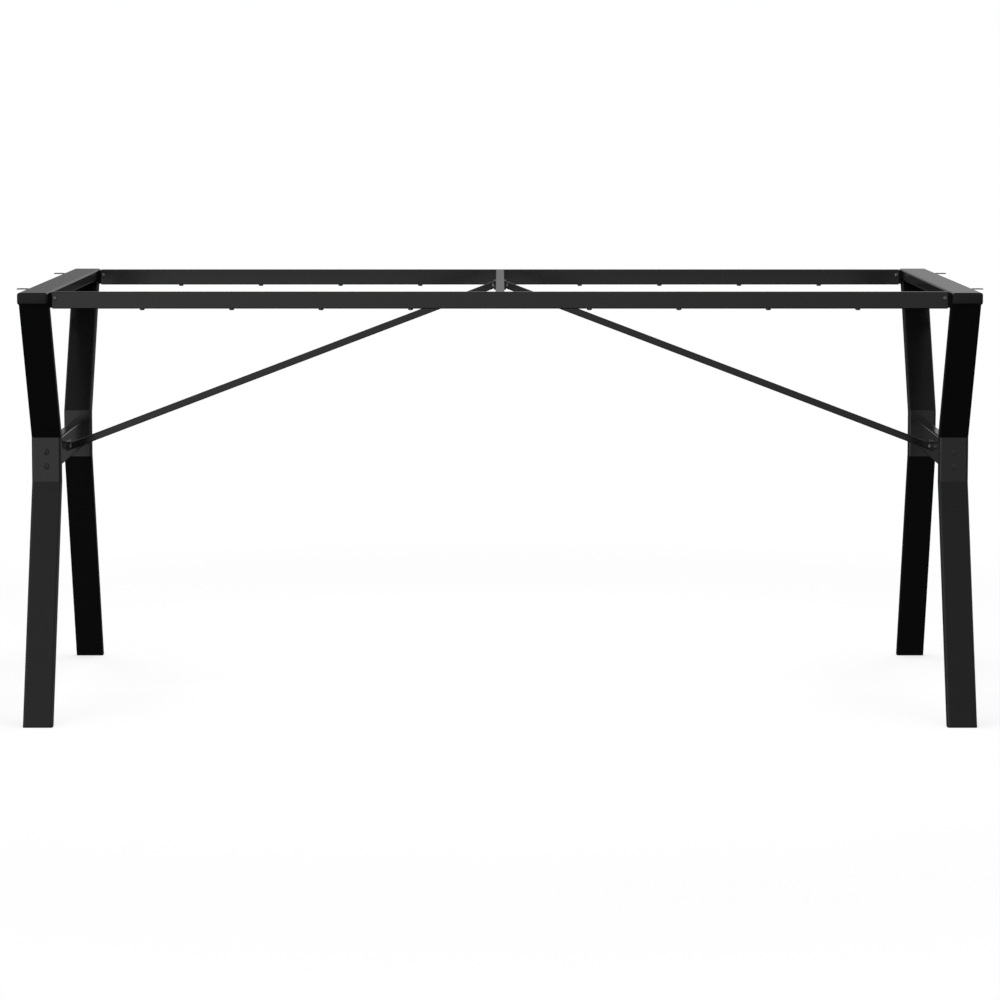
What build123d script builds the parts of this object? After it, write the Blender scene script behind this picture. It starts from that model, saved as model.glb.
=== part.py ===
# Steel table base: two waisted end frames, a flat top frame between them and two diagonal braces.
# Millimetres, +Z up, origin on the floor at the middle of the base.
import os
from math import hypot

from build123d import *

# Overall size, over the end bars
frame_length = 1600
frame_depth = 800
frame_height = 730

# Flat-sided tube of the end frames
tube_width = 50
tube_thickness = 20
tube_wall = 1.5
tube_corner = 4

# Leg centre line, measured in from the ends of the end bars and up from the floor
foot_inset = 19
waist_inset = 173
head_inset = 30
waist_low = 396
waist_high = 476

# Stretcher that joins the waists of the two legs of an end frame
stretcher_rise = 436.5
block_length = 8
stretcher_bolt_spacing = 25

# Tube of the top frame
rail_height = 28
rail_thickness = 15
rail_wall = 1.2
rail_corner = 1.5
rail_inset = 36
rail_end_gap = 5
fixings_per_rail = 8

# Welded tongues that carry the rail ends and the centre bar
rail_tongue_insert = 25
rail_screw_inset = 4.5
centre_tongue_height = 12
centre_tongue_insert = 40
centre_screw_inset = 32

# Diagonal braces of square tube and the plates on their ends
brace_width = 12
brace_wall = 1.2
brace_corner = 1.5
brace_foot_drop = 1.5
brace_head_drop = 8.5
plate_thickness = 3
plate_length = 40
plate_height = 16
plate_corner = 2
plate_bolt_spacing = 26

# Angle tabs on the outside of the end bars
tab_reach = 19
tab_width = 20
tab_thickness = 1.2
tab_leg = 12
tab_drop = 1
tab_inset = 148
tab_bend_radius = 1
tab_hole_diameter = 5.5

# Plastic caps and glides
cap_flange = 4
cap_bevel = 2
glide_flange = 3
plug_length = 15

# Fasteners
stretcher_bolt_diameter = 6
stretcher_bolt_head_diameter = 10.5
stretcher_bolt_head_height = 3.3
socket_flats = 4
socket_depth = 2
brace_bolt_diameter = 5
brace_bolt_flats = 8
brace_bolt_head_height = 3.5
brace_nut_height = 4
rail_screw_diameter = 4
rail_screw_head_diameter = 7.5
rail_screw_head_height = 2.6
rail_nut_flats = 7
rail_nut_height = 3.2
fixing_diameter = 5
fixing_head_diameter = 8.5
fixing_head_height = 2.8
fixing_tip_gap = 0.5
thread_end = 1
head_taper = 30
fastener_sides = 8

# Clearances
fit_gap = 0.2
hole_gap = 0.3
thread_gap = 0.1

# Places worked out from the sizes above
foot_reach = frame_depth / 2 - foot_inset
waist_reach = frame_depth / 2 - waist_inset
head_reach = frame_depth / 2 - head_inset
rail_reach = frame_depth / 2 - rail_inset
tab_y = frame_depth / 2 - tab_inset
end_bar_x = frame_length / 2 - tube_width / 2
end_bar_z = frame_height - tube_thickness / 2
end_bar_under = frame_height - tube_thickness
end_bar_inside = frame_length / 2 - tube_width
end_bar_half = frame_depth / 2 - cap_flange
waist_outside = waist_reach + tube_thickness / 2
stretcher_half = waist_reach - tube_thickness / 2
stretcher_inside = end_bar_x - tube_thickness / 2
stretcher_outside = end_bar_x + tube_thickness / 2
rail_z = frame_height - rail_height / 2
rail_under = frame_height - rail_height
rail_half = end_bar_inside - rail_end_gap
rail_inside = rail_reach - rail_thickness / 2
rail_outside = rail_reach + rail_thickness / 2
rail_screw_x = rail_half - rail_screw_inset
tongue_thickness = rail_thickness - 2 * rail_wall - 2 * fit_gap
rail_tongue_height = rail_height - 2 * rail_wall - 2 * fit_gap
centre_tongue_z = rail_under + rail_wall + fit_gap + centre_tongue_height / 2
centre_screw_y = rail_inside - centre_screw_inset
fixing_pitch = 2 * rail_half / (fixings_per_rail + 2)
brace_foot_x = stretcher_inside - plate_thickness
brace_foot_z = stretcher_rise - brace_foot_drop
brace_head_x = rail_thickness / 2 + plate_thickness
brace_head_z = frame_height - brace_head_drop
brace_run = brace_foot_x - brace_head_x
brace_rise = brace_head_z - brace_foot_z
lower_slope = (foot_reach - waist_reach) / waist_low
upper_slope = (head_reach - waist_reach) / (end_bar_under - waist_high)
foot_depth = tube_thickness * hypot(1, lower_slope)
tab_top = frame_height - tab_drop
tab_hole_reach = (tab_thickness + tab_reach) / 2

left_right = (("left", -1), ("right", 1))
front_back = (("front", -1), ("back", 1))
corners = [(f"{end}_{hand}", side, row) for hand, side in left_right for end, row in front_back]

os.makedirs("parts", exist_ok=True)


def save(piece, name):
    piece.part.label = name
    export_step(piece.part, f"parts/{name}.step")


# The flat-sided tube and what plugs it have flat-cut corners inside, where nothing shows
def tube_inside(width, height, gap, mode=Mode.ADD):
    x = width / 2 - tube_wall - gap
    y = height / 2 - tube_wall - gap
    cut = tube_corner - tube_wall
    Polygon(
        (x, cut - y),
        (x, y - cut),
        (x - cut, y),
        (cut - x, y),
        (-x, y - cut),
        (-x, cut - y),
        (cut - x, -y),
        (x - cut, -y),
        mode=mode,
    )


def tube_profile(width, height):
    RectangleRounded(width, height, tube_corner)
    tube_inside(width, height, 0, Mode.SUBTRACT)


# The thinner tubes of the top frame and the braces are square inside
def thin_tube_profile(width, height, wall, corner):
    RectangleRounded(width, height, corner)
    Rectangle(width - 2 * wall, height - 2 * wall, mode=Mode.SUBTRACT)


# Fasteners and their holes are eight-sided, which keeps so many small pieces light
def round_section(diameter, mode=Mode.ADD):
    RegularPolygon(diameter / 2, fastener_sides, mode=mode)


# End bars: flat tubes along the two ends of the top
for hand, side in left_right:
    with BuildPart() as end_bar:
        with BuildSketch(Plane((side * end_bar_x, 0, end_bar_z), x_dir=(1, 0, 0), z_dir=(0, 1, 0))):
            tube_profile(tube_width, tube_thickness)
        extrude(amount=end_bar_half, both=True)
    save(end_bar, f"end_bar_{hand}")

# End caps: bevelled plugs in the ends of the end bars
for corner_name, side, row in corners:
    mouth = Plane((side * end_bar_x, row * end_bar_half, end_bar_z), x_dir=(1, 0, 0), z_dir=(0, row, 0))
    with BuildPart() as end_cap:
        with BuildSketch(mouth):
            RectangleRounded(tube_width, tube_thickness, tube_corner)
        extrude(amount=cap_flange)
        outer_face = end_cap.faces().sort_by(Axis((0, 0, 0), (0, row, 0)))[-1]
        chamfer(outer_face.edges(), cap_bevel)
        with BuildSketch(mouth):
            tube_inside(tube_width, tube_thickness, fit_gap)
        extrude(amount=-plug_length)
    save(end_cap, f"end_cap_{corner_name}")

# Legs: one tube each, mitred above and below the waist, cut level at the foot and under the end bar
for corner_name, side, row in corners:
    leg_plane = Plane.YZ.offset(side * end_bar_x)
    leg_points = (
        (row * (foot_reach + lower_slope * tube_thickness), -tube_thickness),
        (row * waist_reach, waist_low),
        (row * waist_reach, waist_high),
        (row * (head_reach + upper_slope * tube_thickness), end_bar_under + tube_thickness),
    )
    waist_face = Plane(
        (side * end_bar_x, row * waist_outside, stretcher_rise), x_dir=(1, 0, 0), z_dir=(0, row, 0)
    )
    with BuildPart() as leg:
        with BuildLine(leg_plane) as leg_path:
            Polyline(*leg_points)
        with BuildSketch(Plane(leg_path.line @ 0, x_dir=(1, 0, 0), z_dir=leg_path.line % 0)):
            tube_profile(tube_width, tube_thickness)
        sweep(transition=Transition.RIGHT)
        split(bisect_by=Plane.XY.offset(glide_flange), keep=Keep.TOP)
        split(bisect_by=Plane.XY.offset(end_bar_under), keep=Keep.BOTTOM)
        with BuildSketch(waist_face):
            with GridLocations(0, stretcher_bolt_spacing, 1, 2):
                round_section(stretcher_bolt_diameter + 2 * hole_gap)
        extrude(amount=-tube_thickness, mode=Mode.SUBTRACT)
    save(leg, f"leg_{corner_name}")

# Foot glides: a flange on the floor and a plug that follows the slope of the leg
for corner_name, side, row in corners:
    foot_centre = (side * end_bar_x, row * foot_reach, 0)
    leg_direction = Vector(0, -row * lower_slope, 1).normalized()
    with BuildPart() as foot_glide:
        with BuildSketch(Plane(foot_centre, x_dir=(1, 0, 0), z_dir=leg_direction)):
            tube_inside(tube_width, tube_thickness, fit_gap)
        extrude(amount=plug_length + glide_flange)
        split(bisect_by=Plane.XY.offset(glide_flange / 2), keep=Keep.TOP)
        with BuildSketch(Plane(foot_centre)):
            RectangleRounded(tube_width, foot_depth, tube_corner)
        extrude(amount=glide_flange * hypot(1, lower_slope), dir=leg_direction)
    save(foot_glide, f"foot_glide_{corner_name}")

# Stretchers: upright tubes between the waists, drilled for the brace bolts
for hand, side in left_right:
    stretcher_centre = (side * end_bar_x, 0, stretcher_rise)
    with BuildPart() as stretcher:
        with BuildSketch(Plane(stretcher_centre, x_dir=(1, 0, 0), z_dir=(0, 1, 0))):
            tube_profile(tube_thickness, tube_width)
        extrude(amount=stretcher_half, both=True)
        with BuildSketch(Plane(stretcher_centre, x_dir=(0, 1, 0), z_dir=(1, 0, 0))):
            with GridLocations(plate_bolt_spacing, 0, 2, 1):
                round_section(brace_bolt_diameter + 2 * hole_gap)
        extrude(amount=tube_thickness, both=True, mode=Mode.SUBTRACT)
    save(stretcher, f"stretcher_{hand}")

# Stretcher blocks: threaded blocks flush in the stretcher ends
for corner_name, side, row in corners:
    stretcher_end = Plane(
        (side * end_bar_x, row * stretcher_half, stretcher_rise), x_dir=(1, 0, 0), z_dir=(0, row, 0)
    )
    with BuildPart() as stretcher_block:
        with BuildSketch(stretcher_end):
            tube_inside(tube_thickness, tube_width, fit_gap)
            with GridLocations(0, stretcher_bolt_spacing, 1, 2):
                round_section(stretcher_bolt_diameter + 2 * thread_gap, Mode.SUBTRACT)
        extrude(amount=-block_length)
    save(stretcher_block, f"stretcher_block_{corner_name}")

# Rails: the long tubes at the front and back of the top frame
for end, row in front_back:
    with BuildPart() as rail:
        with BuildSketch(Plane((0, row * rail_reach, rail_z), x_dir=(0, 1, 0), z_dir=(1, 0, 0))):
            thin_tube_profile(rail_thickness, rail_height, rail_wall, rail_corner)
        extrude(amount=rail_half, both=True)
        with BuildSketch(Plane((0, row * rail_reach, rail_under))):
            for side in (-1, 1):
                for place in range(fixings_per_rail // 2):
                    with Locations((side * (place + 1) * fixing_pitch, 0)):
                        round_section(fixing_diameter + 2 * hole_gap)
        extrude(amount=rail_height, mode=Mode.SUBTRACT)
        with BuildSketch(Plane((0, row * rail_reach, end_bar_z), x_dir=(1, 0, 0), z_dir=(0, 1, 0))):
            with GridLocations(2 * rail_screw_x, 0, 2, 1):
                round_section(rail_screw_diameter + 2 * hole_gap)
        extrude(amount=rail_thickness, both=True, mode=Mode.SUBTRACT)
    save(rail, f"rail_{end}")

# Rail tongues: drilled blocks welded to the end bars, inside the rail ends
for corner_name, side, row in corners:
    with BuildPart() as rail_tongue:
        with BuildSketch(
            Plane((side * end_bar_inside, row * rail_reach, rail_z), x_dir=(0, 1, 0), z_dir=(-side, 0, 0))
        ):
            Rectangle(tongue_thickness, rail_tongue_height)
        extrude(amount=rail_end_gap + rail_tongue_insert)
        with BuildSketch(
            Plane((side * rail_screw_x, row * rail_reach, end_bar_z), x_dir=(1, 0, 0), z_dir=(0, 1, 0))
        ):
            round_section(rail_screw_diameter + 2 * hole_gap)
        extrude(amount=rail_thickness, both=True, mode=Mode.SUBTRACT)
    save(rail_tongue, f"rail_tongue_{corner_name}")

# Centre bar: the short tube between the rails, drilled for the brace bolts and its own screws
with BuildPart() as centre_bar:
    with BuildSketch(Plane((0, 0, rail_z), x_dir=(1, 0, 0), z_dir=(0, 1, 0))):
        thin_tube_profile(rail_thickness, rail_height, rail_wall, rail_corner)
    extrude(amount=rail_inside, both=True)
    with BuildSketch(Plane((0, 0, brace_head_z), x_dir=(0, 1, 0), z_dir=(1, 0, 0))):
        with GridLocations(plate_bolt_spacing, 0, 2, 1):
            round_section(brace_bolt_diameter + 2 * hole_gap)
    extrude(amount=rail_thickness, both=True, mode=Mode.SUBTRACT)
    with BuildSketch(Plane((0, 0, rail_under))):
        with GridLocations(0, 2 * centre_screw_y, 1, 2):
            round_section(rail_screw_diameter + 2 * hole_gap)
    extrude(amount=rail_height / 2, mode=Mode.SUBTRACT)
save(centre_bar, "centre_bar")

# Centre tongues: blocks welded to the rails, inside the ends of the centre bar
for end, row in front_back:
    with BuildPart() as centre_tongue:
        with BuildSketch(Plane((0, row * rail_inside, centre_tongue_z), x_dir=(1, 0, 0), z_dir=(0, -row, 0))):
            Rectangle(tongue_thickness, centre_tongue_height)
        extrude(amount=centre_tongue_insert)
        with BuildSketch(Plane((0, row * centre_screw_y, centre_tongue_z))):
            round_section(rail_screw_diameter + 2 * thread_gap)
        extrude(amount=centre_tongue_height, both=True, mode=Mode.SUBTRACT)
    save(centre_tongue, f"centre_tongue_{end}")

# Brace tubes: cut upright at both ends, against their plates
for hand, side in left_right:
    brace_middle = (side * (brace_foot_x + brace_head_x) / 2, 0, (brace_foot_z + brace_head_z) / 2)
    brace_direction = (-side * brace_run, 0, brace_rise)
    with BuildPart() as brace_tube:
        with BuildSketch(Plane(brace_middle, x_dir=(0, 1, 0), z_dir=brace_direction)):
            thin_tube_profile(brace_width, brace_width, brace_wall, brace_corner)
        extrude(amount=hypot(brace_run, brace_rise) / 2 + brace_width, both=True)
        split(bisect_by=Plane((side * brace_foot_x, 0, 0), z_dir=(side, 0, 0)), keep=Keep.BOTTOM)
        split(bisect_by=Plane((side * brace_head_x, 0, 0), z_dir=(side, 0, 0)), keep=Keep.TOP)
    save(brace_tube, f"brace_tube_{hand}")

# Brace plates: welded to the brace ends, against the stretcher and the centre bar
for hand, side in left_right:
    plate_seats = (("foot", brace_foot_x, stretcher_rise), ("head", rail_thickness / 2, brace_head_z))
    for seat, plate_x, plate_z in plate_seats:
        with BuildPart() as brace_plate:
            plate_face = Plane((side * plate_x, 0, plate_z), x_dir=(0, 1, 0), z_dir=(side, 0, 0))
            with BuildSketch(plate_face) as plate_outline:
                Rectangle(plate_length, plate_height)
                chamfer(plate_outline.vertices(), plate_corner)
                with GridLocations(plate_bolt_spacing, 0, 2, 1):
                    round_section(brace_bolt_diameter + 2 * hole_gap, Mode.SUBTRACT)
            extrude(amount=plate_thickness)
        save(brace_plate, f"brace_{seat}_plate_{hand}")

# Top tabs: folded angles welded to the outer sides of the end bars, drilled for the table top
for corner_name, side, row in corners:
    tab_plane = Plane(
        (side * frame_length / 2, row * tab_y, tab_top), x_dir=(side, 0, 0), z_dir=(0, -side, 0)
    )
    with BuildPart() as top_tab:
        with BuildSketch(tab_plane) as tab_section:
            with BuildLine():
                Polyline(
                    (0, 0),
                    (tab_reach, 0),
                    (tab_reach, -tab_thickness),
                    (tab_thickness, -tab_thickness),
                    (tab_thickness, -tab_leg),
                    (0, -tab_leg),
                    close=True,
                )
            make_face()
            fold_corners = tab_section.vertices().sort_by_distance((0, 0, 0))
            fillet(fold_corners[0], tab_bend_radius + tab_thickness)
            fold_corners = tab_section.vertices().sort_by_distance((tab_thickness, -tab_thickness, 0))
            fillet(fold_corners[0], tab_bend_radius)
        extrude(amount=tab_width / 2, both=True)
        with BuildSketch(Plane((side * (frame_length / 2 + tab_hole_reach), row * tab_y, tab_top))):
            Circle(tab_hole_diameter / 2)
        extrude(amount=-tab_thickness, mode=Mode.SUBTRACT)
    save(top_tab, f"top_tab_{corner_name}")


# Fasteners stand on their own origin, head up and shank down, until they are set in their places
def round_head(head_diameter, head_height, diameter, length):
    with BuildPart() as screw:
        with BuildSketch():
            round_section(head_diameter)
        extrude(amount=head_height, taper=head_taper)
        with BuildSketch():
            round_section(diameter)
        extrude(amount=-length)
    return screw.part


def hex_bolt(flats, head_height, diameter, length):
    with BuildPart() as bolt:
        with BuildSketch():
            RegularPolygon(flats / 2, 6, major_radius=False)
        extrude(amount=head_height)
        with BuildSketch():
            round_section(diameter)
        extrude(amount=-length)
    return bolt.part


def hex_nut(flats, height, diameter):
    with BuildPart() as nut:
        with BuildSketch():
            RegularPolygon(flats / 2, 6, major_radius=False)
            round_section(diameter + 2 * thread_gap, Mode.SUBTRACT)
        extrude(amount=height)
    return nut.part


def facing_x(x, y, z, way):
    return Plane((x, y, z), x_dir=(0, 1, 0), z_dir=(way, 0, 0))


def facing_y(x, y, z, way):
    return Plane((x, y, z), x_dir=(1, 0, 0), z_dir=(0, way, 0))


def facing_down(x, y, z):
    return Plane((x, y, z), x_dir=(1, 0, 0), z_dir=(0, 0, -1))


def save_group(fastener, places, name):
    with BuildPart() as group:
        with Locations(*places):
            add(fastener)
    save(group, name)


both_ways = (-1, 1)

# Stretcher bolts: button heads with a hexagon socket, two through each waist into the block behind it
with BuildPart() as stretcher_bolt:
    add(
        round_head(
            stretcher_bolt_head_diameter,
            stretcher_bolt_head_height,
            stretcher_bolt_diameter,
            tube_thickness + block_length + thread_end,
        )
    )
    with BuildSketch(Plane.XY.offset(stretcher_bolt_head_height)):
        RegularPolygon(socket_flats / 2, 6, major_radius=False)
    extrude(amount=-socket_depth, mode=Mode.SUBTRACT)
stretcher_bolt_places = [
    facing_y(side * end_bar_x, row * waist_outside, stretcher_rise + up * stretcher_bolt_spacing / 2, row)
    for corner_name, side, row in corners
    for up in both_ways
]
save_group(stretcher_bolt.part, stretcher_bolt_places, "stretcher_bolts")

# Rail screws and nuts: one through each rail end and its tongue
rail_screw = round_head(
    rail_screw_head_diameter,
    rail_screw_head_height,
    rail_screw_diameter,
    rail_thickness + rail_nut_height + thread_end,
)
rail_screw_places = [
    facing_y(side * rail_screw_x, row * rail_outside, end_bar_z, row) for corner_name, side, row in corners
]
save_group(rail_screw, rail_screw_places, "rail_screws")
rail_nut = hex_nut(rail_nut_flats, rail_nut_height, rail_screw_diameter)
rail_nut_places = [
    facing_y(side * rail_screw_x, row * rail_inside, end_bar_z, -row) for corner_name, side, row in corners
]
save_group(rail_nut, rail_nut_places, "rail_nuts")

# Centre screws: up through the centre bar into its tongues
centre_screw = round_head(
    rail_screw_head_diameter,
    rail_screw_head_height,
    rail_screw_diameter,
    rail_wall + fit_gap + centre_tongue_height + thread_end,
)
centre_screw_places = [facing_down(0, row * centre_screw_y, rail_under) for row in both_ways]
save_group(centre_screw, centre_screw_places, "centre_screws")

# Top screws: up through the rails, for the table top
top_screw = round_head(
    fixing_head_diameter, fixing_head_height, fixing_diameter, rail_height - fixing_tip_gap
)
top_screw_places = [
    facing_down(side * (place + 1) * fixing_pitch, row * rail_reach, rail_under)
    for row in both_ways
    for side in both_ways
    for place in range(fixings_per_rail // 2)
]
save_group(top_screw, top_screw_places, "top_screws")

# Brace bolts and nuts: two through each foot plate and its stretcher, two through both head plates
foot_bolt = hex_bolt(
    brace_bolt_flats,
    brace_bolt_head_height,
    brace_bolt_diameter,
    plate_thickness + tube_thickness + brace_nut_height + thread_end,
)
head_bolt = hex_bolt(
    brace_bolt_flats,
    brace_bolt_head_height,
    brace_bolt_diameter,
    rail_thickness + 2 * plate_thickness + brace_nut_height + thread_end,
)
brace_nut = hex_nut(brace_bolt_flats, brace_nut_height, brace_bolt_diameter)
bolt_rows = [row * plate_bolt_spacing / 2 for row in both_ways]
foot_bolt_places = [
    facing_x(side * brace_foot_x, y, stretcher_rise, -side) for side in both_ways for y in bolt_rows
]
foot_nut_places = [
    facing_x(side * stretcher_outside, y, stretcher_rise, side) for side in both_ways for y in bolt_rows
]
head_bolt_places = [facing_x(-brace_head_x, y, brace_head_z, -1) for y in bolt_rows]
head_nut_places = [facing_x(brace_head_x, y, brace_head_z, 1) for y in bolt_rows]
save_group(foot_bolt, foot_bolt_places, "brace_foot_bolts")
save_group(brace_nut, foot_nut_places, "brace_foot_nuts")
save_group(head_bolt, head_bolt_places, "brace_head_bolts")
save_group(brace_nut, head_nut_places, "brace_head_nuts")
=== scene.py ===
import math

import bmesh
import bpy
from mathutils import Matrix, Vector


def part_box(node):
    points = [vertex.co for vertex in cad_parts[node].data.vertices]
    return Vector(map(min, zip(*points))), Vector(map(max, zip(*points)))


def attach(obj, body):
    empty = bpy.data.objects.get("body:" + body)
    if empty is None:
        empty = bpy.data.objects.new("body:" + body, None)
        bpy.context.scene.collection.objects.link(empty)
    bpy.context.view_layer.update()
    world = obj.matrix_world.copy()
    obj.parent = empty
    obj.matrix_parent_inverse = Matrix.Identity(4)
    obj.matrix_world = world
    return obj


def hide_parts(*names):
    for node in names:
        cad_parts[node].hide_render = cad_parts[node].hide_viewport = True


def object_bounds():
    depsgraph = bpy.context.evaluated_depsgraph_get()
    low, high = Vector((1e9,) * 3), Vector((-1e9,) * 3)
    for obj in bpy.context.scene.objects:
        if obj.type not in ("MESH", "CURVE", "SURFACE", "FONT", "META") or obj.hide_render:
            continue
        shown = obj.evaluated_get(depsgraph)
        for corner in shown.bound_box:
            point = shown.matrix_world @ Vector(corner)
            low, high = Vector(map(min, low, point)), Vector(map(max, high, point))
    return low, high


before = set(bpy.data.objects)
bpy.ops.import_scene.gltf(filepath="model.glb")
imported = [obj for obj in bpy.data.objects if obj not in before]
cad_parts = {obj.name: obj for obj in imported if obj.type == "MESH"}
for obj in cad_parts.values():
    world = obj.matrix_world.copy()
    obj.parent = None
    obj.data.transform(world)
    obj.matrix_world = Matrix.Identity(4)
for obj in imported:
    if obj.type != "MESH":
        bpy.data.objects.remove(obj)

cadLow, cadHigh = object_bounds()       # the CAD box, before any piece is added
print("frame loaded:", len(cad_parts), "CAD nodes")

scene = bpy.context.scene
scene.view_settings.view_transform = "Standard"

mm = 0.001                          # sizes below are in metres, written as mm where that reads better
samePlace = 0.01 * mm               # points nearer than this count as one
bothWays = (-1, 1)
corners = [(side, row) for side in bothWays for row in bothWays]

# Measures of the frame; the right and back ones, which the others mirror
endBarLow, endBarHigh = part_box("end_bar_right")
stretcherLow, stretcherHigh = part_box("stretcher_right")
railLow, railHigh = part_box("rail_back")
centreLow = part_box("centre_bar")[0]
footPlateLow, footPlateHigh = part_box("brace_foot_plate_right")
headPlateLow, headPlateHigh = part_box("brace_head_plate_right")
endBarX = (endBarLow.x + endBarHigh.x) / 2
endBarZ = (endBarLow.z + endBarHigh.z) / 2
tubeWidth = endBarHigh.x - endBarLow.x
tubeThickness = endBarHigh.z - endBarLow.z
waistFace = stretcherHigh.y + tubeThickness     # outer face of the waists


def hexToLinear(text):
    parts = [int(text[i:i + 2], 16) / 255 for i in (1, 3, 5)]
    linear = [p / 12.92 if p <= 0.04045 else ((p + 0.055) / 1.055) ** 2.4 for p in parts]
    return (*linear, 1)


def addNode(tree, kind, inputs, **settings):
    node = tree.nodes.new(kind)
    for name, value in settings.items():
        setattr(node, name, value)
    for name, value in inputs.items():
        if isinstance(value, bpy.types.NodeSocket):
            tree.links.new(value, node.inputs[name])
        else:
            node.inputs[name].default_value = value
    return node


def newMaterial(name):
    material = bpy.data.materials.new(name)
    material.use_nodes = True
    material.node_tree.nodes.clear()
    return material, material.node_tree


noiseLow, noiseHigh = 0.3, 0.7      # nearly all values of a noise lie between these


# Satin black polyester powder coat on steel tube: an even black with a soft sheen and a faint orange peel
powderCoat = {
    "colour": "#0e0e0f",
    "thinColour": "#131314",    # a touch greyer where the coat flowed thinner
    "roughLow": 0.15,
    "roughHigh": 0.20,
    "peelMm": 2.4,              # width of the orange peel's dimples
    "peelDepthMm": 0.012,
    "grainMm": 0.6,             # baked grain, drawn coarser than the real 0.1 mm so that it shows
    "grainDepthMm": 0.004,
    "flowMm": 70,               # slow change of tone along a tube
    "ior": 1.5,
}


def makePowderCoat():
    material, tree = newMaterial("satinBlackPowderCoat")
    place = addNode(tree, "ShaderNodeTexCoord", {}).outputs["Object"]
    flow = addNode(tree, "ShaderNodeTexNoise",
                   {"Vector": place, "Scale": 1 / (powderCoat["flowMm"] * mm), "Detail": 3})
    peel = addNode(tree, "ShaderNodeTexNoise",
                   {"Vector": place, "Scale": 1 / (powderCoat["peelMm"] * mm), "Detail": 1})
    grain = addNode(tree, "ShaderNodeTexNoise",
                    {"Vector": place, "Scale": 1 / (powderCoat["grainMm"] * mm), "Detail": 2})
    tone = addNode(tree, "ShaderNodeMix",
                   {"Factor": flow.outputs["Fac"], "A": hexToLinear(powderCoat["colour"]),
                    "B": hexToLinear(powderCoat["thinColour"])}, data_type="RGBA")
    rough = addNode(tree, "ShaderNodeMapRange",
                    {"Value": peel.outputs["Fac"], "From Min": noiseLow, "From Max": noiseHigh,
                     "To Min": powderCoat["roughLow"], "To Max": powderCoat["roughHigh"]})
    grainBump = addNode(tree, "ShaderNodeBump",
                        {"Height": grain.outputs["Fac"], "Distance": powderCoat["grainDepthMm"] * mm})
    peelBump = addNode(tree, "ShaderNodeBump",
                       {"Height": peel.outputs["Fac"], "Distance": powderCoat["peelDepthMm"] * mm,
                        "Normal": grainBump.outputs["Normal"]})
    shader = addNode(tree, "ShaderNodeBsdfPrincipled",
                     {"Base Color": tone.outputs["Result"], "Roughness": rough.outputs["Result"],
                      "Normal": peelBump.outputs["Normal"], "IOR": powderCoat["ior"]})
    addNode(tree, "ShaderNodeOutputMaterial", {"Surface": shader.outputs["BSDF"]})
    return material


# Black polypropylene, injection moulded in a spark-eroded tool: duller than the paint, with a fine even grain
mouldedPlastic = {
    "colour": "#0d0d0e",
    "paleColour": "#131314",
    "roughLow": 0.42,
    "roughHigh": 0.52,
    "grainMm": 0.8,             # tool texture, drawn coarser than the real 0.2 mm so that it shows
    "grainDepthMm": 0.02,
    "ior": 1.49,
    "specular": 0.38,
}

# Near-black coat on the tongues, dull and almost black: painted shade, which stands in for the shadow in the
# gaps between the rail ends and the end bars
shadeGapCoat = {
    "colour": "#040404",
    "paleColour": "#080808",
    "roughLow": 0.7,
    "roughHigh": 0.85,
    "grainMm": 0.5,             # grains of powder, drawn coarser than the real 0.05 mm so that they show
    "grainDepthMm": 0.01,
    "ior": 1.5,
    "specular": 0.35,
}


def makeGrained(name, look):
    material, tree = newMaterial(name)
    place = addNode(tree, "ShaderNodeTexCoord", {}).outputs["Object"]
    grain = addNode(tree, "ShaderNodeTexNoise",
                    {"Vector": place, "Scale": 1 / (look["grainMm"] * mm), "Detail": 2})
    tone = addNode(tree, "ShaderNodeMix",
                   {"Factor": grain.outputs["Fac"], "A": hexToLinear(look["colour"]),
                    "B": hexToLinear(look["paleColour"])}, data_type="RGBA")
    rough = addNode(tree, "ShaderNodeMapRange",
                    {"Value": grain.outputs["Fac"], "From Min": noiseLow, "From Max": noiseHigh,
                     "To Min": look["roughLow"], "To Max": look["roughHigh"]})
    bump = addNode(tree, "ShaderNodeBump",
                   {"Height": grain.outputs["Fac"], "Distance": look["grainDepthMm"] * mm})
    shader = addNode(tree, "ShaderNodeBsdfPrincipled",
                     {"Base Color": tone.outputs["Result"], "Roughness": rough.outputs["Result"],
                      "Normal": bump.outputs["Normal"], "IOR": look["ior"],
                      "Specular IOR Level": look["specular"]})
    addNode(tree, "ShaderNodeOutputMaterial", {"Surface": shader.outputs["BSDF"]})
    return material


# Black zinc plated steel: a thin dark passivated metal, brighter where a tool or a washer has rubbed it
blackZinc = {
    "colour": "#7c7d80",
    "rubbedColour": "#97989b",
    "rubbedFrom": 0.45,         # the noise at which the rubbed colour starts to show
    "rubbedTo": 0.75,           # and at which it shows fully
    "roughLow": 0.28,
    "roughHigh": 0.40,
    "cloudMm": 3.0,             # clouding left by the plating bath
    "scratchMm": 0.5,           # fine scratches, drawn coarser than the real 0.05 mm so that they show
    "scratchDepthMm": 0.006,
}

# Black oxide steel, for the bolts in the waists: darker and dull, so its edges stay soft
blackOxide = dict(blackZinc, colour="#636466", rubbedColour="#6f7073", roughLow=0.66, roughHigh=0.78)


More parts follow.
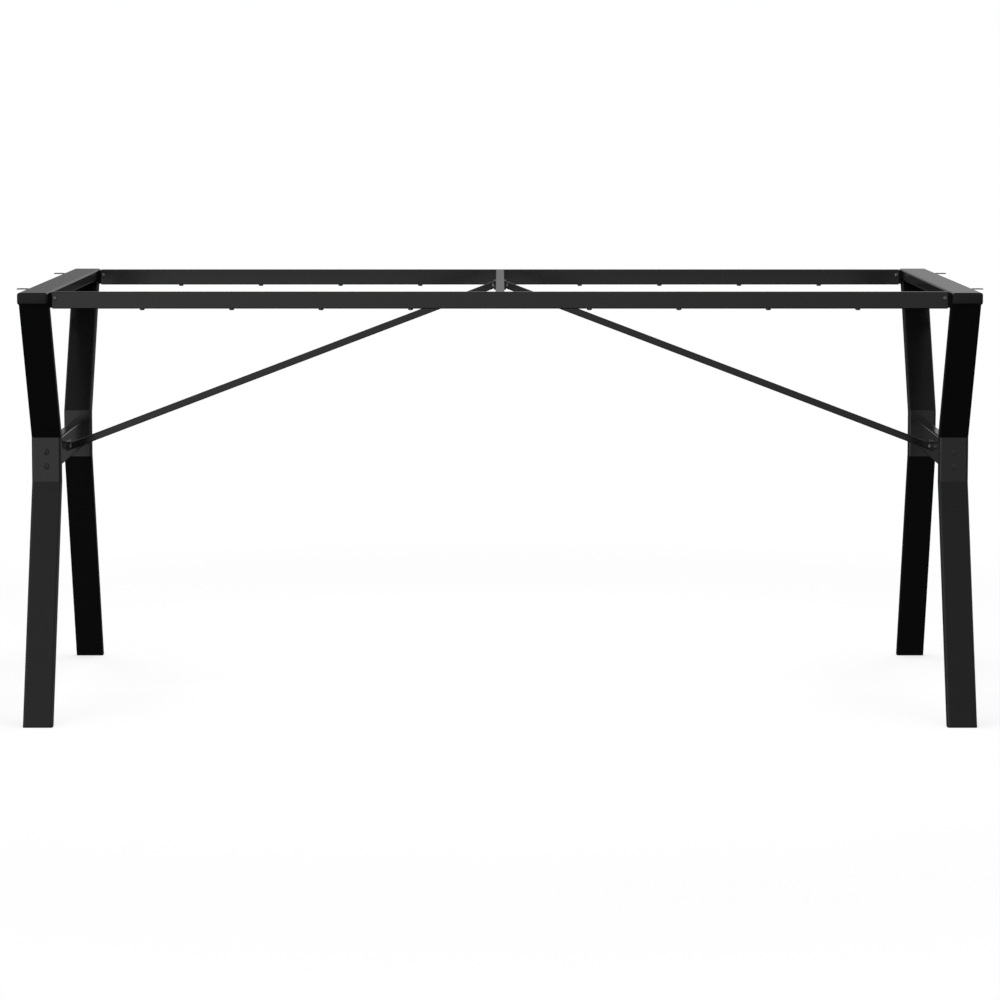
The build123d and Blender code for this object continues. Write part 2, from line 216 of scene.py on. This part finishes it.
def makePlatedSteel(name, look):
    material, tree = newMaterial(name)
    place = addNode(tree, "ShaderNodeTexCoord", {}).outputs["Object"]
    cloud = addNode(tree, "ShaderNodeTexNoise",
                    {"Vector": place, "Scale": 1 / (look["cloudMm"] * mm), "Detail": 3})
    scratch = addNode(tree, "ShaderNodeTexNoise",
                      {"Vector": place, "Scale": 1 / (look["scratchMm"] * mm), "Detail": 2})
    rubbed = addNode(tree, "ShaderNodeMapRange",
                     {"Value": cloud.outputs["Fac"], "From Min": look["rubbedFrom"],
                      "From Max": look["rubbedTo"]})
    tone = addNode(tree, "ShaderNodeMix",
                   {"Factor": rubbed.outputs["Result"], "A": hexToLinear(look["colour"]),
                    "B": hexToLinear(look["rubbedColour"])}, data_type="RGBA")
    rough = addNode(tree, "ShaderNodeMapRange",
                    {"Value": cloud.outputs["Fac"], "From Min": noiseLow, "From Max": noiseHigh,
                     "To Min": look["roughLow"], "To Max": look["roughHigh"]})
    bump = addNode(tree, "ShaderNodeBump",
                   {"Height": scratch.outputs["Fac"], "Distance": look["scratchDepthMm"] * mm})
    shader = addNode(tree, "ShaderNodeBsdfPrincipled",
                     {"Base Color": tone.outputs["Result"], "Roughness": rough.outputs["Result"],
                      "Normal": bump.outputs["Normal"], "Metallic": 1.0})
    addNode(tree, "ShaderNodeOutputMaterial", {"Surface": shader.outputs["BSDF"]})
    return material


paint = makePowderCoat()
plastic = makeGrained("mouldedBlackPolypropylene", mouldedPlastic)
# a near-black coat that paints in the shade of the gaps at the rail ends
shadeGapPaint = makeGrained("paintedShadeBlackCoat", shadeGapCoat)
zinc = makePlatedSteel("blackZincSteel", blackZinc)
oxide = makePlatedSteel("blackOxideSteel", blackOxide)
print("materials made")


# CAD nodes that stay keep their shape and take the finish of the real piece, except the tongues, which take a
# near-black coat as painted shade
def nodeFinish(name):
    if name.startswith(("end_cap", "foot_glide")):
        return plastic
    # the tongues get painted shade: near black, for the shadow in the gaps at the rail ends
    if name.startswith(("rail_tongue", "centre_tongue")):
        return shadeGapPaint
    if name.endswith(("bolts", "nuts", "screws")):
        return zinc
    return paint


for nodeName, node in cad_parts.items():
    for materialSlot in node.material_slots:
        materialSlot.material = nodeFinish(nodeName)
print("CAD nodes dressed")


def finishPiece(name, bm, material, slotName, *nodes, smoothAngle=35):
    bmesh.ops.remove_doubles(bm, verts=bm.verts, dist=samePlace)
    bmesh.ops.recalc_face_normals(bm, faces=bm.faces)
    mesh = bpy.data.meshes.new(name)
    bm.to_mesh(mesh)
    bm.free()
    mesh.materials.append(material)
    mesh.shade_smooth()
    mesh.set_sharp_from_angle(angle=math.radians(smoothAngle))
    piece = bpy.data.objects.new(name, mesh)
    scene.collection.objects.link(piece)
    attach(piece, "root")
    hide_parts(*nodes)
    print("piece", name, len(mesh.polygons), "faces")


# Copies of one shape, modelled at the origin, set in their places
def setCopies(single, places):
    mesh = bpy.data.meshes.new("single")
    bmesh.ops.remove_doubles(single, verts=single.verts, dist=samePlace)
    bmesh.ops.recalc_face_normals(single, faces=single.faces)
    single.to_mesh(mesh)
    single.free()
    group = bmesh.new()
    for place in places:
        start = len(group.verts)
        group.from_mesh(mesh)
        group.verts.ensure_lookup_table()
        bmesh.ops.transform(group, matrix=place, verts=group.verts[start:])
    bpy.data.meshes.remove(mesh)
    return group


# All fasteners of one kind, in place of their CAD node
def addFasteners(name, single, places, material, node):
    finishPiece(name, setCopies(single, places), material, "black_fasteners", node)


# The place of a fastener that is modelled head up, with its head turned to face one way
def seat(x, y, z, way):
    return Matrix.Translation((x, y, z)) @ Vector(way).to_track_quat("Z", "Y").to_matrix().to_4x4()


fastenerDetail = {
    "sides": 24,                # of a turned head or shank
    "domeSteps": 5,
    "chamferSteps": 2,
    "socketLip": 0.15 * mm,     # from the mouth of a head down to the edge of its socket
}


# A turned head with a shank below it, and a socket sunk into the mouth on top
def roundHead(head):
    bm = bmesh.new()
    dome = head["height"] - head["rim"]
    outline = [(0, -head["length"]), (head["shank"] - head["lead"], -head["length"]),
               (head["shank"], head["lead"] - head["length"]), (head["shank"], 0), (head["radius"], 0),
               (head["radius"], head["rim"])]
    for step in range(1, fastenerDetail["domeSteps"] + 1):
        turn = math.radians(90 * step / fastenerDetail["domeSteps"])
        outline.append((head["mouth"] + (head["radius"] - head["mouth"]) * math.cos(turn),
                        head["rim"] + dome * math.sin(turn)))
    verts = [bm.verts.new((x, 0, z)) for x, z in outline]
    edges = [bm.edges.new(pair) for pair in zip(verts, verts[1:])]
    bmesh.ops.spin(bm, geom=verts + edges, axis=(0, 0, 1), cent=(0, 0, 0), angle=math.tau,
                   steps=fastenerDetail["sides"], use_merge=True)
    bmesh.ops.remove_doubles(bm, verts=bm.verts, dist=samePlace)
    sinkSocket(bm, head)
    return bm


# A hexagon socket, or a cross recess, drawn as a loose ring just inside the mouth and sunk from there
def sinkSocket(bm, head):
    sides = fastenerDetail["sides"]
    lip = Matrix.Translation((0, 0, head["height"] - fastenerDetail["socketLip"]))
    if head["drive"] == "hexagon":
        bmesh.ops.create_circle(bm, segments=6, radius=head["socket"], matrix=lip)
        flats = [e for e in bm.edges if e.is_wire]
        bmesh.ops.subdivide_edges(bm, edges=flats, cuts=sides // 6 - 1)
    else:
        turned = lip @ Matrix.Rotation(math.pi / sides, 4, "Z")
        bmesh.ops.create_circle(bm, segments=sides, radius=head["socket"], matrix=turned)
        armHalf = head["socket"] * math.sin(math.pi / sides)
        # each point of the circle slides in until it is half an arm's width from the nearer axis
        for vert in [v for v in bm.verts if v.is_wire]:
            angle = math.atan2(vert.co.y, vert.co.x)
            offAxis = abs((angle + math.pi / 4) % (math.pi / 2) - math.pi / 4)
            reach = armHalf / math.sin(offAxis)
            vert.co.xy = (reach * math.cos(angle), reach * math.sin(angle))
    ring = [e for e in bm.edges if e.is_wire]
    mouth = [e for e in bm.edges if e.is_boundary]
    bmesh.ops.bridge_loops(bm, edges=mouth + ring)
    ring = [e for e in bm.edges if e.is_boundary]
    sunk = bmesh.ops.extrude_edge_only(bm, edges=ring)["geom"]
    bmesh.ops.translate(bm, verts=[v for v in sunk if isinstance(v, bmesh.types.BMVert)],
                        vec=(0, 0, -head["socketDepth"]))
    bmesh.ops.edgeloop_fill(bm, edges=[e for e in bm.edges if e.is_boundary])


# Rounds off the edges that lie level at one height
def softenRim(bm, height, offset):
    rim = [e for e in bm.edges if all(abs(v.co.z - height) < samePlace for v in e.verts)]
    bmesh.ops.bevel(bm, geom=rim, offset=offset, segments=fastenerDetail["chamferSteps"], profile=0.5,
                    affect="EDGES", material=-1)


# A hexagon with a soft upper edge: a bolt head, or a nut
def addHexagon(bm, flats, height, chamfer):
    corner = flats / 2 / math.cos(math.pi / 6)
    bmesh.ops.create_cone(bm, cap_ends=True, segments=6, radius1=corner, radius2=corner, depth=height,
                          matrix=Matrix.Translation((0, 0, height / 2)))
    softenRim(bm, height, chamfer)


# A plain shank under a head, with its end rounded off
def addShank(bm, radius, length, lead):
    bmesh.ops.create_cone(bm, cap_ends=True, segments=fastenerDetail["sides"], radius1=radius, radius2=radius,
                          depth=length, matrix=Matrix.Translation((0, 0, -length / 2)))
    softenRim(bm, -length, lead)


def hexNut(flats, height, chamfer):
    bm = bmesh.new()
    addHexagon(bm, flats, height, chamfer)
    return bm


# Button-head socket bolts on the outer faces of the waists
waistBolt = {
    "radius": 5.25 * mm,
    "height": 3.3 * mm,
    "rim": 0.6 * mm,
    "mouth": 2.75 * mm,
    "drive": "hexagon",
    "socket": 2.31 * mm,
    "socketDepth": 1.8 * mm,
    "shank": 3 * mm,
    "length": 29 * mm,
    "lead": 0.5 * mm,
    "spacing": 25 * mm,
}
stretcherZ = (stretcherLow.z + stretcherHigh.z) / 2
places = [seat(side * endBarX, row * waistFace, stretcherZ + up * waistBolt["spacing"] / 2, (0, row, 0))
          for side, row in corners for up in bothWays]
addFasteners("stretcherBolts", roundHead(waistBolt), places, oxide, "stretcher_bolts")


# Cross-head screws through the rail ends, with a nut on the inner face
railScrew = {
    "radius": 3.75 * mm,
    "height": 2.6 * mm,
    "rim": 0.8 * mm,
    "mouth": 2.3 * mm,
    "drive": "cross",
    "socket": 2.1 * mm,
    "socketDepth": 1.4 * mm,
    "shank": 2 * mm,
    "length": 19.2 * mm,
    "lead": 0.4 * mm,
    "inset": 4.5 * mm,
    "nutFlats": 7 * mm,
    "nutHeight": 3.2 * mm,
    "nutChamfer": 0.5 * mm,
}
screwX = railHigh.x - railScrew["inset"]
places = [seat(side * screwX, row * railHigh.y, endBarZ, (0, row, 0)) for side, row in corners]
addFasteners("railScrews", roundHead(railScrew), places, zinc, "rail_screws")
nut = hexNut(railScrew["nutFlats"], railScrew["nutHeight"], railScrew["nutChamfer"])
places = [seat(side * screwX, row * railLow.y, endBarZ, (0, -row, 0)) for side, row in corners]
addFasteners("railNuts", nut, places, zinc, "rail_nuts")


# The same screws, shorter, up through the centre bar into its tongues
centreScrew = dict(railScrew, length=14.4 * mm, inset=32 * mm)
places = [seat(0, row * (railLow.y - centreScrew["inset"]), centreLow.z, (0, 0, -1)) for row in bothWays]
addFasteners("centreScrews", roundHead(centreScrew), places, zinc, "centre_screws")


# Pan-head screws up through the rails, for the table top
topScrew = {
    "radius": 4.25 * mm,
    "height": 2.8 * mm,
    "rim": 0.9 * mm,
    "mouth": 2.6 * mm,
    "drive": "cross",
    "socket": 2.4 * mm,
    "socketDepth": 1.5 * mm,
    "shank": 2.5 * mm,
    "length": 27.5 * mm,
    "lead": 1.2 * mm,
    "perHalf": 4,               # screws in each half of a rail
}
railY = (railLow.y + railHigh.y) / 2
pitch = railHigh.x / (topScrew["perHalf"] + 1)
places = [seat(side * pitch * (step + 1), row * railY, railLow.z, (0, 0, -1))
          for side, row in corners for step in range(topScrew["perHalf"])]
addFasteners("topScrews", roundHead(topScrew), places, zinc, "top_screws")


# Hexagon bolts through the brace plates, with their nuts on the far side
braceBolt = {
    "flats": 8 * mm,
    "headHeight": 3.5 * mm,
    "nutHeight": 4 * mm,
    "chamfer": 0.6 * mm,
    "shank": 2.5 * mm,
    "end": 1 * mm,              # thread that stands out of the nut
    "lead": 0.4 * mm,
    "spacing": 26 * mm,
}


def makeBraceBolt(grip):
    bm = bmesh.new()
    addHexagon(bm, braceBolt["flats"], braceBolt["headHeight"], braceBolt["chamfer"])
    addShank(bm, braceBolt["shank"], grip + braceBolt["nutHeight"] + braceBolt["end"], braceBolt["lead"])
    return bm


def makeBraceNut():
    return hexNut(braceBolt["flats"], braceBolt["nutHeight"], braceBolt["chamfer"])


boltRows = [row * braceBolt["spacing"] / 2 for row in bothWays]
footZ = (footPlateLow.z + footPlateHigh.z) / 2
headZ = (headPlateLow.z + headPlateHigh.z) / 2
footGrip = stretcherHigh.x - footPlateLow.x
headGrip = 2 * headPlateHigh.x
places = [seat(side * footPlateLow.x, y, footZ, (-side, 0, 0)) for side in bothWays for y in boltRows]
addFasteners("braceFootBolts", makeBraceBolt(footGrip), places, zinc, "brace_foot_bolts")
places = [seat(side * stretcherHigh.x, y, footZ, (side, 0, 0)) for side in bothWays for y in boltRows]
addFasteners("braceFootNuts", makeBraceNut(), places, zinc, "brace_foot_nuts")
places = [seat(-headPlateHigh.x, y, headZ, (-1, 0, 0)) for y in boltRows]
addFasteners("braceHeadBolts", makeBraceBolt(headGrip), places, zinc, "brace_head_bolts")
places = [seat(headPlateHigh.x, y, headZ, (1, 0, 0)) for y in boltRows]
addFasteners("braceHeadNuts", makeBraceNut(), places, zinc, "brace_head_nuts")


# Moulded caps in the ends of the end bars: a flange with rounded edges, and a plug inside the tube
endCap = {
    "corner": 4 * mm,
    "flange": 4 * mm,
    "rounding": 3 * mm,
    "plug": 15 * mm,
    "plugInset": 1.7 * mm,
    "cornerSteps": 8,
    "roundingSteps": 6,
}


def makeEndCap():
    bm = bmesh.new()
    flange = Matrix.Diagonal((tubeWidth, tubeThickness, endCap["flange"], 1))
    bmesh.ops.create_cube(bm, size=1, matrix=Matrix.Translation((0, 0, endCap["flange"] / 2)) @ flange)
    uprights = [e for e in bm.edges if abs(e.verts[0].co.z - e.verts[1].co.z) > endCap["flange"] / 2]
    bmesh.ops.bevel(bm, geom=uprights, offset=endCap["corner"], segments=endCap["cornerSteps"], profile=0.5,
                    affect="EDGES", material=-1)
    rim = [e for e in bm.edges if all(v.co.z > endCap["flange"] - samePlace for v in e.verts)]
    bmesh.ops.bevel(bm, geom=rim, offset=endCap["rounding"], segments=endCap["roundingSteps"], profile=0.5,
                    affect="EDGES", material=-1)
    inside = [f for f in bm.faces if all(v.co.z < samePlace for v in f.verts)]
    bmesh.ops.inset_region(bm, faces=inside, thickness=endCap["plugInset"])
    plugEnd = bmesh.ops.extrude_discrete_faces(bm, faces=inside)["faces"]
    bmesh.ops.translate(bm, verts=plugEnd[0].verts, vec=(0, 0, -endCap["plug"]))
    return bm


places = [Matrix.Translation((side * endBarX, row * endBarHigh.y, endBarZ))
          @ Matrix.Rotation(-row * math.pi / 2, 4, "X") for side, row in corners]
capNodes = [f"end_cap_{end}_{hand}" for end in ("front", "back") for hand in ("left", "right")]
finishPiece("endCaps", setCopies(makeEndCap(), places), plastic, "black_plastic", *capNodes)


# Weld beads in the grooves between the legs and the rounded lower edges of the end bars, painted over
legWeld = {
    "length": 22 * mm,
    "radius": 2.1 * mm,
    "headInset": 30 * mm,       # the head of a leg, in from the end of the end bar
    "inset": 1.9 * mm,          # in from the side of the tube
    "rise": 1.2 * mm,           # above the underside of the end bar
    "ripple": 0.12 * mm,
    "ripplePitch": 2.2 * mm,
    "steps": 60,
    "sides": 12,
    "smoothAngle": 60,          # degrees
}


def makeBead(bead):
    bm = bmesh.new()
    verts = []
    for step in range(bead["steps"] + 1):
        along = (step / bead["steps"] - 0.5) * bead["length"]
        left = bead["length"] / 2 - abs(along)
        taper = math.sqrt(min(1, max(0, left / bead["radius"])))    # closes the ends to a point
        radius = (bead["radius"] + bead["ripple"] * math.sin(math.tau * along / bead["ripplePitch"])) * taper
        verts.append(bm.verts.new((radius, along, 0)))
    edges = [bm.edges.new(pair) for pair in zip(verts, verts[1:])]
    bmesh.ops.spin(bm, geom=verts + edges, axis=(0, 1, 0), cent=(0, 0, 0), angle=math.tau,
                   steps=bead["sides"], use_merge=True)
    return bm


headY = cadHigh.y - legWeld["headInset"]
weldX = [endBarLow.x + legWeld["inset"], endBarHigh.x - legWeld["inset"]]
places = [Matrix.Translation((side * x, row * headY, endBarLow.z + legWeld["rise"]))
          for side, row in corners for x in weldX]
finishPiece("legWelds", setCopies(makeBead(legWeld), places), paint, "powder_coat",
            smoothAngle=legWeld["smoothAngle"])


# Pale floor that the camera sees as white, apart from the soft shadow that the lamps leave near the object
floorLook = {
    "colour": "#f7f7f7",
    "shadowShare": 0.3,         # how much of the lit floor shows through the white near the object
    "shadowReach": (1.1, 2.2),  # metres from the middle, where the shadow starts to fade and where it ends
    "size": 60,                 # metres
    "drop": 0.2 * mm,           # below the feet, so that the two don't share a plane
}


def makeFloor():
    material, tree = newMaterial("paleStudioFloor")
    path = addNode(tree, "ShaderNodeLightPath", {})
    place = addNode(tree, "ShaderNodeTexCoord", {}).outputs["Object"]
    away = addNode(tree, "ShaderNodeVectorMath", {0: place}, operation="LENGTH")
    fadeStart, fadeEnd = floorLook["shadowReach"]
    plain = addNode(tree, "ShaderNodeMapRange",
                    {"Value": away.outputs["Value"], "From Min": fadeStart, "From Max": fadeEnd,
                     "To Min": 1 - floorLook["shadowShare"], "To Max": 1}, interpolation_type="SMOOTHSTEP")
    lit = addNode(tree, "ShaderNodeBsdfDiffuse", {"Color": hexToLinear(floorLook["colour"])})
    white = addNode(tree, "ShaderNodeEmission", {"Color": (1, 1, 1, 1), "Strength": 1.0})
    share = addNode(tree, "ShaderNodeMath",
                    {0: path.outputs["Is Camera Ray"], 1: plain.outputs["Result"]}, operation="MULTIPLY")
    mixed = addNode(tree, "ShaderNodeMixShader",
                    {"Fac": share.outputs["Value"], 1: lit.outputs["BSDF"], 2: white.outputs["Emission"]})
    addNode(tree, "ShaderNodeOutputMaterial", {"Surface": mixed.outputs["Shader"]})
    bm = bmesh.new()
    bmesh.ops.create_grid(bm, x_segments=1, y_segments=1, size=floorLook["size"] / 2)
    mesh = bpy.data.meshes.new("floor")
    bm.to_mesh(mesh)
    bm.free()
    mesh.materials.append(material)
    floor = bpy.data.objects.new("floor", mesh)
    floor.location.z = -floorLook["drop"]
    floor.visible_glossy = False
    floor.visible_diffuse = False
    scene.collection.objects.link(floor)


makeFloor()


# Soft studio sweep: pale walls at eye level, brightest at front left, a dim ceiling and a dark ground
sweep = {
    # upward part of the direction, and how bright it is there; one paler band lies on the dark ground
    "levels": ((-1.0, 0.03), (-0.34, 0.05), (-0.22, 0.11), (-0.17, 0.03), (-0.07, 0.45), (0.0, 0.55),
               (0.3, 0.545), (0.8, 0.226), (1.0, 0.06)),
    "lean": 0.12,               # the pale walls reach lower in front than behind
    "diagonal": 2.12,           # how much brighter the front left and back right are
    "left": 0.7,                # how much brighter the left is than the right, in front and behind
    "front": 0.36,              # how much brighter the front is
    "ambient": 0.5,             # the share of it that lights matt surfaces
}


def makeWorld():
    world = bpy.data.worlds.new("studioSweep")
    world.use_nodes = True
    tree = world.node_tree
    tree.nodes.clear()
    path = addNode(tree, "ShaderNodeLightPath", {})
    way = addNode(tree, "ShaderNodeTexCoord", {}).outputs["Generated"]
    parts = addNode(tree, "ShaderNodeSeparateXYZ", {"Vector": way}).outputs
    height = addNode(tree, "ShaderNodeMath",
                     {0: parts["Y"], 1: -sweep["lean"], 2: parts["Z"]}, operation="MULTIPLY_ADD")
    share = addNode(tree, "ShaderNodeMapRange",
                    {"Value": height.outputs["Value"], "From Min": -1, "From Max": 1})
    ramp = addNode(tree, "ShaderNodeValToRGB", {"Fac": share.outputs["Result"]})
    stops = ramp.color_ramp.elements
    while len(stops) < len(sweep["levels"]):
        stops.new(1)
    for stop, (up, level) in zip(stops, sweep["levels"]):
        stop.position = (up + 1) / 2
        stop.color = (level, level, level, 1)
    squared = addNode(tree, "ShaderNodeMath", {0: parts["Y"], 1: parts["Y"]}, operation="MULTIPLY")
    sideways = addNode(tree, "ShaderNodeMath",
                       {0: parts["X"], 1: squared.outputs["Value"]}, operation="MULTIPLY")
    slope = addNode(tree, "ShaderNodeMath",
                    {0: parts["Y"], 1: sweep["diagonal"], 2: -sweep["left"]}, operation="MULTIPLY_ADD")
    across = addNode(tree, "ShaderNodeMath",
                     {0: sideways.outputs["Value"], 1: slope.outputs["Value"], 2: 1.0},
                     operation="MULTIPLY_ADD")
    around = addNode(tree, "ShaderNodeMath",
                     {0: parts["Y"], 1: -sweep["front"], 2: across.outputs["Value"]},
                     operation="MULTIPLY_ADD")
    walls = addNode(tree, "ShaderNodeVectorMath",
                    {0: ramp.outputs["Color"], "Scale": around.outputs["Value"]}, operation="SCALE")
    clear = addNode(tree, "ShaderNodeMath",
                    {0: path.outputs["Is Camera Ray"], 1: path.outputs["Is Transmission Ray"]},
                    operation="MAXIMUM")
    seen = addNode(tree, "ShaderNodeMath",
                   {0: clear.outputs["Value"], 1: path.outputs["Is Glossy Ray"]}, operation="MAXIMUM")
    colour = addNode(tree, "ShaderNodeMix",
                     {"Factor": clear.outputs["Value"], "A": walls.outputs["Vector"], "B": (1, 1, 1, 1)},
                     data_type="RGBA")
    strength = addNode(tree, "ShaderNodeMapRange",
                       {"Value": seen.outputs["Value"], "To Min": sweep["ambient"]})
    glow = addNode(tree, "ShaderNodeBackground",
                   {"Color": colour.outputs["Result"], "Strength": strength.outputs["Result"]})
    addNode(tree, "ShaderNodeOutputWorld", {"Surface": glow.outputs["Background"]})
    scene.world = world


makeWorld()


# Soft boxes: a wide one overhead and one beside the camera; the sweep alone shows in the paint, not the boxes
softBoxes = {
    "overheadBox": {"at": (0, 0, 3.2), "towards": (0, 0, 0), "size": (4.0, 3.0), "watts": 150},
    "frontBox": {"at": (-2.4, -5.5, 1.3), "towards": (0, 0, 0.45), "size": (3.5, 2.0), "watts": 60},
}
for boxName, box in softBoxes.items():
    lamp = bpy.data.lights.new(boxName, "AREA")
    lamp.shape = "RECTANGLE"
    lamp.size, lamp.size_y = box["size"]
    lamp.energy = box["watts"]
    lampObject = bpy.data.objects.new(boxName, lamp)
    aim = Vector(box["towards"]) - Vector(box["at"])
    turn = aim.to_track_quat("-Z", "Y").to_matrix().to_4x4()
    lampObject.matrix_world = Matrix.Translation(box["at"]) @ turn
    lampObject.visible_glossy = False
    scene.collection.objects.link(lampObject)
print("floor, sweep and lamps made")


# A little above the frame and far back, with a long lens and a small downward shift
photoCamera = {
    "distance": 6.266,          # metres in front of the middle
    "height": 1.0676,           # metres above the floor
    "tiltDown": 5.022,          # degrees
    "lens": 127.75,             # mm
    "sensor": 36,               # mm wide
    "shift": -0.1,
}
cameraData = bpy.data.cameras.new("photoCamera")
cameraData.sensor_width = photoCamera["sensor"]
cameraData.lens = photoCamera["lens"]
cameraData.shift_y = photoCamera["shift"]
camera = bpy.data.objects.new("photoCamera", cameraData)
camera.location = (0, -photoCamera["distance"], photoCamera["height"])
camera.rotation_euler = (math.radians(90 - photoCamera["tiltDown"]), 0, 0)
scene.collection.objects.link(camera)
scene.camera = camera
print("camera made")
